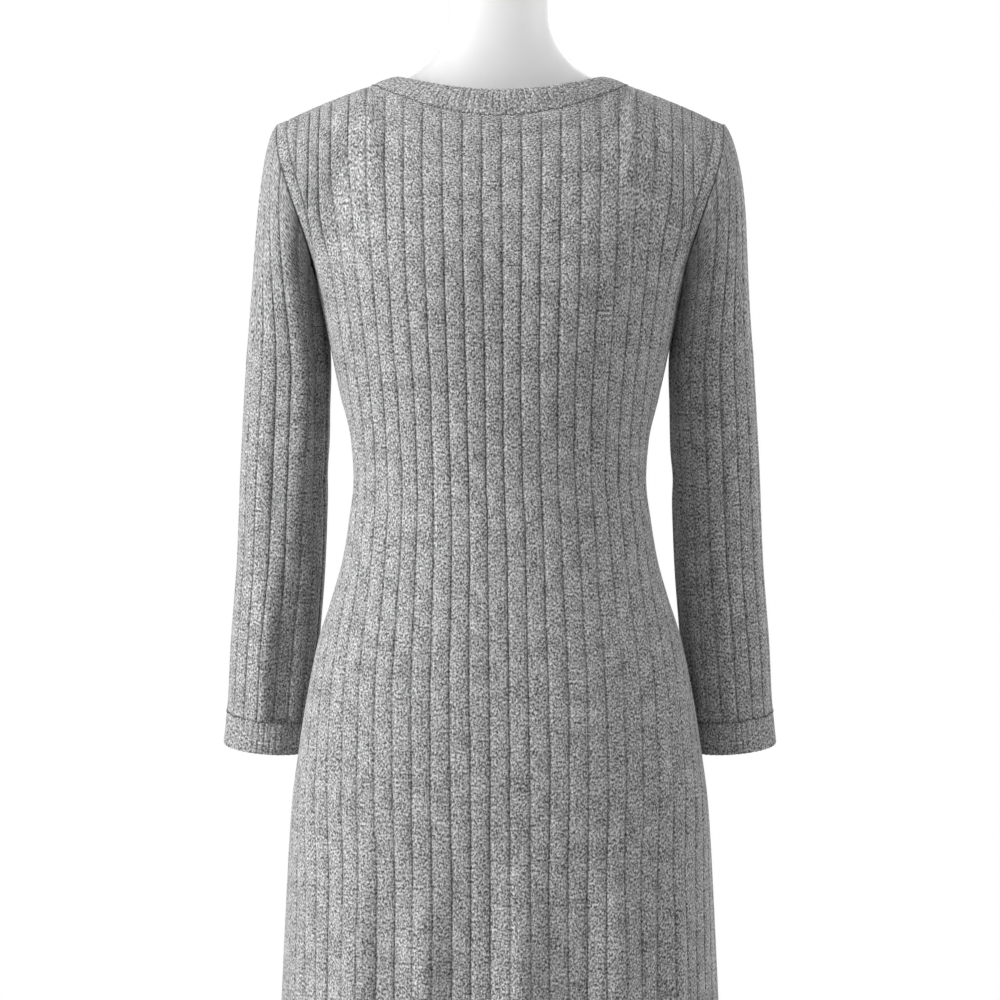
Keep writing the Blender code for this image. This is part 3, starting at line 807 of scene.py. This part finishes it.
def makeYarnGroup():
    # Knit is in ribs across and rib widths along
    sizes = ("Rib Width", "Speck Size", "Stitch Width", "Stitch Height", "Groove Width")
    inputs = {"Knit": "Vector", **dict.fromkeys(sizes, "Float")}
    outputs = dict.fromkeys(("Tone", "Relief", "Groove"), "Float")
    tree, given, made = nodeTree("heatherYarn", "ShaderNodeTree", inputs, outputs)
    knit = given.outputs["Knit"]
    metres = scaled(tree, knit, given.outputs["Rib Width"])
    parts = addNode(tree, "ShaderNodeSeparateXYZ", {0: metres})
    rib = addNode(tree, "ShaderNodeSeparateXYZ", {0: knit}).outputs[0]

    def noise(name):
        stretch, fineness, detail, share = noises[name]
        place = addNode(tree, "ShaderNodeMapping", {"Vector": metres, "Scale": (1, stretch, 1)}).outputs[0]
        scale = maths(tree, "DIVIDE", fineness, given.outputs["Speck Size"])
        values = {"Vector": place, "Scale": scale, "Detail": detail}
        return addNode(tree, "ShaderNodeTexNoise", values).outputs[0], share

    def fleck(cell, radius, share, shift):
        place = vectorMaths(tree, "ADD", metres, (shift, shift, 0))
        cells = addNode(tree, "ShaderNodeTexVoronoi", {"Vector": place, "Scale": 1 / cell})
        chosen = addNode(tree, "ShaderNodeSeparateColor", {0: cells.outputs["Color"]}).outputs[0]
        near = maths(tree, "MULTIPLY_ADD", cells.outputs["Distance"], -cell / radius, yarn["fleckEdge"])
        near = addNode(tree, "ShaderNodeClamp", {0: near}).outputs[0]
        return times(tree, near, maths(tree, "LESS_THAN", chosen, share))

    specks, speckShare = noise("specks")
    tone = maths(tree, "MULTIPLY_ADD", specks, speckShare, times(tree, *noise("fibres")))
    tone = maths(tree, "MULTIPLY_ADD", *noise("clouds"), tone)
    tone = maths(tree, "SUBTRACT", tone, yarn["toneShift"])
    for *fleckValues, strength in flecks:
        tone = maths(tree, "MULTIPLY_ADD", fleck(*fleckValues), strength, tone)

    across = maths(tree, "FRACT", maths(tree, "DIVIDE", parts.outputs[0], given.outputs["Stitch Width"]))
    slant = maths(tree, "ABSOLUTE", maths(tree, "SUBTRACT", across, 0.5))
    up = maths(tree, "DIVIDE", parts.outputs[1], given.outputs["Stitch Height"])
    phase = maths(tree, "MULTIPLY_ADD", slant, yarn["loopSlant"], up)
    wave = maths(tree, "SINE", times(tree, phase, fullTurn))
    arch = maths(tree, "SINE", times(tree, across, math.pi))
    loops = times(tree, maths(tree, "MULTIPLY_ADD", wave, 0.5, 0.5), arch)
    raised = times(tree, specks, yarn["speckRelief"])
    relief = maths(tree, "MULTIPLY_ADD", loops, yarn["loopRelief"], raised)
    # Painted shade in the grooves, made uneven along their length by a noise
    unevenGrooveShade = maths(tree, "MULTIPLY_ADD", noise("unevenGrooveShade")[0], *yarn["unevenGrooveShade"])
    groove = bellNodes(tree, grooveDistance(tree, rib), given.outputs["Groove Width"])
    feed(tree, made, {"Tone": tone, "Relief": relief, "Groove": times(tree, groove, unevenGrooveShade)})
    return tree


def newMaterial(name):
    material = bpy.data.materials.new(name)
    material.use_nodes = True
    return material, material.node_tree, material.node_tree.nodes["Principled BSDF"]


def makeKnit(name, group, look):
    material, tree, shader = newMaterial(name)
    knit = addNode(tree, "ShaderNodeGroup", {
        "Knit": addNode(tree, "ShaderNodeUVMap", {}, uv_map="knit").outputs[0],
        "Rib Width": look["ribWidth"],
        "Speck Size": yarn["speckSize"],
        "Stitch Width": look["ribWidth"] / look["wales"],
        "Stitch Height": yarn["course"],
        "Groove Width": look["shadeWidth"],
    }, node_tree=group)
    ramp = addNode(tree, "ShaderNodeValToRGB", {0: knit.outputs["Tone"]})
    stops = ramp.color_ramp.elements
    while len(stops) < len(yarn["tones"]):
        stops.new(0.5)
    for stop, (place, tone) in zip(stops, yarn["tones"]):
        stop.position, stop.color = place, (tone, tone, tone * yarn["coolness"], 1)
    # Painted shade: the grooves, the armhole seam and the band's groove are darkened towards a near black
    # tone
    ribbed = addNode(tree, "ShaderNodeAttribute", {}, attribute_name="ribbed").outputs["Fac"]
    shade = addNode(tree, "ShaderNodeAttribute", {}, attribute_name="shade").outputs["Fac"]
    sunk = maths(tree, "MAXIMUM", times(tree, knit.outputs["Groove"], ribbed), shade)
    darkness = times(tree, sunk, look["shade"])
    colours = {0: darkness, 6: ramp.outputs[0], 7: yarn["grooveShadeTone"]}
    dark = addNode(tree, "ShaderNodeMix", colours, data_type="RGBA")
    relief = {"Height": knit.outputs["Relief"], "Distance": yarn["bump"], "Strength": yarn["bumpStrength"]}
    bump = addNode(tree, "ShaderNodeBump", relief)
    feed(tree, shader, {**knitSurface, "Base Color": dark.outputs[2], "Normal": bump.outputs[0]})
    return material


# Grained surfaces: stretch of the grain along Z, its scale, tones, roughness, relief, metal
surfaces = {
    "white form": (1, 900, (0.46, 0.49), (0.48, 0.62), 0.00003, 0.0),
    "brushed steel": (30, 40, (0.54, 0.66), (0.24, 0.46), 0.00002, 1.0),
    "pale floor": (1, 200, (0.60, 0.64), (0.60, 0.80), 0.0, 0.0),
    # The linking yarns are real stitches; their dark tones are also painted shade along the seams
    "grey seam-shade linking yarn": (1, 1500, (0.070, 0.120), (0.80, 0.95), 0.0001, 0.0),
    "dark seam-shade linking yarn": (1, 1500, (0.045, 0.070), (0.80, 0.95), 0.0001, 0.0),
}
grain = {"cloudScale": 9.0, "detail": 2.0}


def makeGrainGroup():
    # Fine grain that can be drawn out one way, and slow clouds, both from 0 to 1
    inputs, outputs = {"Stretch": "Vector", "Scale": "Float"}, {"Fine": "Float", "Slow": "Float"}
    tree, given, made = nodeTree("surfaceGrain", "ShaderNodeTree", inputs, outputs)
    place = tree.nodes.new("ShaderNodeTexCoord").outputs["Object"]
    drawn = vectorMaths(tree, "MULTIPLY", place, given.outputs["Stretch"])
    textures = {"Fine": (drawn, given.outputs["Scale"]), "Slow": (place, grain["cloudScale"])}
    for label, (vector, scale) in textures.items():
        values = {"Vector": vector, "Scale": scale, "Detail": grain["detail"]}
        feed(tree, made, {label: addNode(tree, "ShaderNodeTexNoise", values).outputs[0]})
    return tree


def makeGrained(name, group):
    stretch, scale, tones, roughness, relief, metal = surfaces[name]
    material, tree, shader = newMaterial(name)
    values = {"Stretch": (1, 1, stretch), "Scale": scale}
    grained = addNode(tree, "ShaderNodeGroup", values, node_tree=group)
    fine, slow = grained.outputs["Fine"], grained.outputs["Slow"]
    dark, light = ((tone, tone, tone, 1) for tone in tones)
    colour = addNode(tree, "ShaderNodeMix", {0: slow, 6: dark, 7: light}, data_type="RGBA")
    rough = maths(tree, "MULTIPLY_ADD", fine, roughness[1] - roughness[0], roughness[0])
    bump = addNode(tree, "ShaderNodeBump", {"Height": fine, "Distance": relief})
    values = {"Base Color": colour.outputs[2], "Roughness": rough, "Metallic": metal}
    feed(tree, shader, {**values, "Normal": bump.outputs[0]})
    return material


cloth = {"wall": 0.0018, "sharpAngle": math.radians(70), "mergeDistance": 0.00016}


def clothMesh(name, grid, ribWidth, around):
    # around is the number of ribs round a tube, or 0 for a flat piece
    points = grid["point"]
    rows, columns = points.shape[:2]
    kept = np.ones((rows, columns), bool)      # points that fall together in a row are one point
    kept[:, 1:] = np.abs(np.diff(points, axis=1)).sum(2) > cloth["mergeDistance"]
    index = kept.cumsum().reshape(rows, columns) - 1
    along = lengthAlong(points[:, columns // 4]) / ribWidth
    rib = grid["rib"]
    faces, faceUv = [], []
    for r in range(rows - 1):
        for c in range(columns if around else columns - 1):
            d = (c + 1) % columns
            corners = {}
            for row, column in ((r, c), (r, d), (r + 1, d), (r + 1, c)):
                turn = rib[row, column]
                if around and abs(turn - rib[row, c]) > around / 2:
                    turn += math.copysign(around, rib[row, c] - turn)
                corners.setdefault(index[row, column], (turn, along[row]))
            if len(corners) > 2:
                faces.append(list(corners))
                faceUv += corners.values()
    data = bpy.data.meshes.new(name)
    data.from_pydata(points[kept].tolist(), [], faces)
    for key in ("rib", "ribbed", "lift", "shade"):
        values = grid[key][kept].astype(np.float32)
        data.attributes.new(key, "FLOAT", "POINT").data.foreach_set("value", values)
    layer = data.uv_layers.new(name="knit")
    layer.data.foreach_set("uv", np.array(faceUv, dtype=np.float32).ravel())
    data.shade_smooth()
    return data


def addObject(name, data):
    thing = bpy.data.objects.new(name, data)
    scene.collection.objects.link(thing)
    return thing


def addCloth(name, grid, knit, around=0):
    piece = addObject(name, clothMesh(name, grid, knit["ribWidth"], around))
    runTree(piece, ribTree, {**knit["grooves"], "Finish": knit["finish"]})
    wall = piece.modifiers.new("wall", "SOLIDIFY")
    wall.thickness, wall.offset, wall.use_even_offset = cloth["wall"], -1, False
    settle(piece)
    piece.data.set_sharp_from_angle(angle=cloth["sharpAngle"])
    print(name, len(piece.data.polygons), "faces")
    return piece


ribTree, linkingTree = makeRibTree(), makeLoopTree()
yarnGroup, grainGroup = makeYarnGroup(), makeGrainGroup()

bodyGrooves = {"Groove Depth": 0.0012, "Groove Half Width": 0.062, "Crown": 0.0002}
trimGrooves = {"Groove Depth": 0.0005, "Groove Half Width": 0.16, "Crown": 0.0001}
# shadeWidth and shade: half width and strength of the painted shade in the grooves and along the armhole seam
knits = {
    "rib": {"ribWidth": panel["ribWidth"], "wales": 8, "shadeWidth": 0.075, "shade": 0.44},
    "sleeve": {"ribWidth": sleeve["ribWidth"], "wales": 8, "shadeWidth": 0.080, "shade": 0.44},
    "trim": {"ribWidth": cuff["ribWidth"], "wales": 2, "shadeWidth": 0.14, "shade": 0.25},
}
for kind, look in knits.items():
    look["finish"] = makeKnit(f"heather {kind} knit", yarnGroup, look)
    look["grooves"] = trimGrooves if kind == "trim" else bodyGrooves

knitBack = addCloth("knit_back", panelGrid(backSide), knits["rib"])
knitFront = addCloth("knit_front", panelGrid(frontSide), knits["rib"])
knitNeckband = addCloth("knit_neckband", neckGrid(), knits["trim"], neckband["ribs"])
knitSleeves = {
    side: addCloth(f"knit_{side}_sleeve", sleeveGrid(side), knits["sleeve"], sleeve["ribs"]) for side in sides
}
knitCuffs = {
    side: addCloth(f"knit_{side}_cuff", cuffGrid(side), knits["trim"], cuff["ribs"]) for side in sides
}
print("cloth built")

# Linking stitches along the seams; a chain alternates across its seam. Their dark yarn is partly painted seam
# shade.
linking = {
    "neck": {"stitches": 180, "sway": 0.0019, "width": 0.0011, "fill": 0.80, "yarn": "grey"},
    "cuff": {"stitches": 78, "sway": 0.0014, "width": 0.0009, "fill": 0.85, "yarn": "dark"},
    "armhole": {"stitches": 150, "sway": 0.0, "width": 0.0006, "fill": 0.80, "yarn": "dark"},
}
swaySeed, swayRange = 11, (0.1, 1.2)


def sway(chain):
    uneven = np.random.default_rng(swaySeed).uniform(*swayRange, chain["stitches"])
    return chain["sway"] * np.where(np.arange(chain["stitches"]) % 2, 1, -1) * uneven


def evenly(curve, count):
    fine = np.linspace(0, 1, samples["seam"])
    length = lengthAlong(curve(fine))
    return np.interp(np.arange(count) / count * length[-1], length, fine)


def neckChain():
    turn = evenly(lambda fine: neckRing(neckSeam, fine % 1), linking["neck"]["stitches"])
    low, high = neckRing(neckSeam, turn), neckRing(neckEdge, turn)
    return low + unit(high - low) * sway(linking["neck"])[:, None]


def cuffChain():
    turn = np.arange(linking["cuff"]["stitches"]) / linking["cuff"]["stitches"]
    points = armPoints(sleeve["cuffSeam"], turn)
    points[:, 2] += sway(linking["cuff"])
    return points


def armholeChain():
    return armholeSeam(evenly(armholeSeam, linking["armhole"]["stitches"]))


def addChain(name, chain, points):
    count = len(points)
    data = bpy.data.meshes.new(name)
    data.from_pydata(points.tolist(), [(i, (i + 1) % count) for i in range(count)], [])
    piece = addObject(name, data)
    finish = linkingYarn[chain["yarn"]]
    values = {"Loop Width": chain["width"], "Loop Length": chain["fill"], "Finish": finish}
    runTree(piece, linkingTree, values)
    return settle(piece)


linkingYarn = {tone: makeGrained(f"{tone} seam-shade linking yarn", grainGroup) for tone in ("grey", "dark")}
neckLinking = addChain("neck_linking", linking["neck"], neckChain())
cuffLinking, armholeLinking = (
    {side: addChain(f"{side}_{seam}_linking", linking[seam], onSide(side, points)) for side in sides}
    for seam, points in (("cuff", cuffChain()), ("armhole", armholeChain()))
)
print("seams linked")

# Near faces of the form's solid are joined, so that it shades smoothly
formShape = {"mergeDistance": 1e-5, "faceAngle": 0.5, "shapeAngle": 1.2, "sharpAngle": math.radians(50)}


def smoothForm(node):
    shell = bmesh.new()
    shell.from_mesh(node.data)
    bmesh.ops.remove_doubles(shell, verts=shell.verts, dist=formShape["mergeDistance"])
    bmesh.ops.join_triangles(
        shell,
        faces=shell.faces,
        angle_face_threshold=formShape["faceAngle"],
        angle_shape_threshold=formShape["shapeAngle"],
    )
    data = bpy.data.meshes.new("form_shell")
    shell.to_mesh(data)
    shell.free()
    data.shade_smooth()
    data.set_sharp_from_angle(angle=formShape["sharpAngle"])
    return addObject("form_shell", data)


formShell = smoothForm(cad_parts["form_body"])
formShell.data.materials.clear()
softPlastic = {"Subsurface Weight": 1.0, "Subsurface Radius": (0.25, 0.25, 0.25), "Subsurface Scale": 1.0}
whiteForm = makeGrained("white form", grainGroup)
feed(whiteForm.node_tree, whiteForm.node_tree.nodes["Principled BSDF"], softPlastic)
formShell.data.materials.append(whiteForm)
standSteel = makeGrained("brushed steel", grainGroup)
for nodeName in ("stand_pole", "stand_base"):
    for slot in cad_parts[nodeName].material_slots:
        slot.material = standSteel
print("form and stand finished")

# Lamps: place, height of the point on the middle line that they face, size, power
lamps = {
    "key": ((3.05, 1.2, 1.7), 1.0, 1.4, 147),
    "fill": ((-3.0, 0.5, 1.7), 1.0, 1.2, 52),
    "behindCamera": ((0.6, 4.0, 2.2), 1.0, 2.0, 19),
    "top": ((0.7, 0.9, 3.3), 1.1, 1.6, 42),
    "before": ((-1.6, -3.2, 2.0), 1.0, 2.0, 115),
}
backdrop = {"ambient": 0.078, "seen": 1.0, "floorReach": 3}
for lampName, (place, aimHeight, size, power) in lamps.items():
    lampData = bpy.data.lights.new(lampName, "AREA")
    lampData.shape, lampData.size, lampData.energy = "DISK", size, power
    lamp = addObject(lampName, lampData)
    lamp.location = place
    lamp.rotation_euler = (Vector((0, 0, aimHeight)) - Vector(place)).to_track_quat("-Z", "Y").to_euler()

world = scene.world or bpy.data.worlds.new("studio")
scene.world = world
world.use_nodes = True
tree = world.node_tree
tree.nodes.clear()
seen = tree.nodes.new("ShaderNodeLightPath")
white = (1, 1, 1, 1)
around = addNode(tree, "ShaderNodeBackground", {"Color": white, "Strength": backdrop["ambient"]})
behindAll = addNode(tree, "ShaderNodeBackground", {"Color": white, "Strength": backdrop["seen"]})
shares = {0: seen.outputs["Is Camera Ray"], 1: around.outputs[0], 2: behindAll.outputs[0]}
mixed = addNode(tree, "ShaderNodeMixShader", shares)
addNode(tree, "ShaderNodeOutputWorld", {0: mixed.outputs[0]})
scene.view_settings.view_transform = "Standard"

floorData = bpy.data.meshes.new("floor")
reach = backdrop["floorReach"]
floorCorners = [(x * reach, y * reach, 0) for x, y in ((-1, -1), (1, -1), (1, 1), (-1, 1))]
floorData.from_pydata(floorCorners, [], [(0, 1, 2, 3)])
floor = addObject("floor", floorData)
floor.data.materials.append(makeGrained("pale floor", grainGroup))

view = {"lens": 131.2, "sensor": 36, "place": (0, 3.2, 0.9886)}
cameraData = bpy.data.cameras.new("camera")
cameraData.lens, cameraData.sensor_width = view["lens"], view["sensor"]
camera = addObject("camera", cameraData)
camera.location = view["place"]
camera.rotation_euler = (rightAngle, 0, math.pi)
scene.camera = camera
print("lamps and camera placed")

standsFor = {knitBack: "back_panel", knitFront: "front_panel", knitNeckband: "neckband"}
standsFor.update({knitSleeves[side]: f"{side}_sleeve" for side in sides})
standsFor.update({knitCuffs[side]: f"{side}_cuff" for side in sides})
for piece, node in standsFor.items():
    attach(piece, "root")
    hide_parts(node)
for piece in (neckLinking, *cuffLinking.values(), *armholeLinking.values()):
    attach(piece, "root")
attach(formShell, "root")
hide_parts("form_body")
